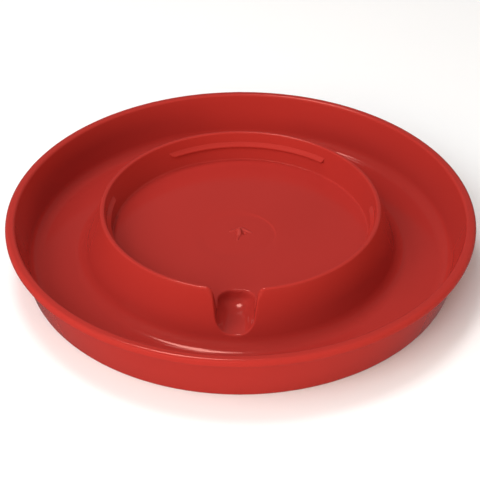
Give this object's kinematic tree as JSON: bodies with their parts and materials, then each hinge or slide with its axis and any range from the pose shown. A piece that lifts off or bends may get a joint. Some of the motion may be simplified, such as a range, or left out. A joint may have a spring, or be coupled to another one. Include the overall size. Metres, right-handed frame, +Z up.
{
  "type": "gravity poultry drinker base",
  "caption": "Round screw-on trough base of a gravity poultry feeder or drinker, with a raised jar collar, locking lugs inside it and an outlet well through it.",
  "frame": {"origin": "centre of the underside, on the surface that the base stands on", "axes": "+Z up along the axis of the trough and the collar; the outlet well faces -Y; +X is to the right as seen from the outlet"},
  "size_m": [0.24, 0.24, 0.0297],
  "materials": {
    "red_plastic": "semi-gloss injection-moulded polypropylene, red"
  },
  "bodies": {
    "root": {"rim_lip": "red_plastic", "outer_wall": "red_plastic", "trough_floor": "red_plastic", "collar_wall": "red_plastic", "collar_crown": "red_plastic", "socket_wall": "red_plastic", "jar_seat": "red_plastic", "jar_lug_back": "red_plastic", "jar_lug_left": "red_plastic", "jar_lug_right": "red_plastic", "outlet_well": "red_plastic", "gate_mark": "red_plastic"}
  },
  "joints": []
}
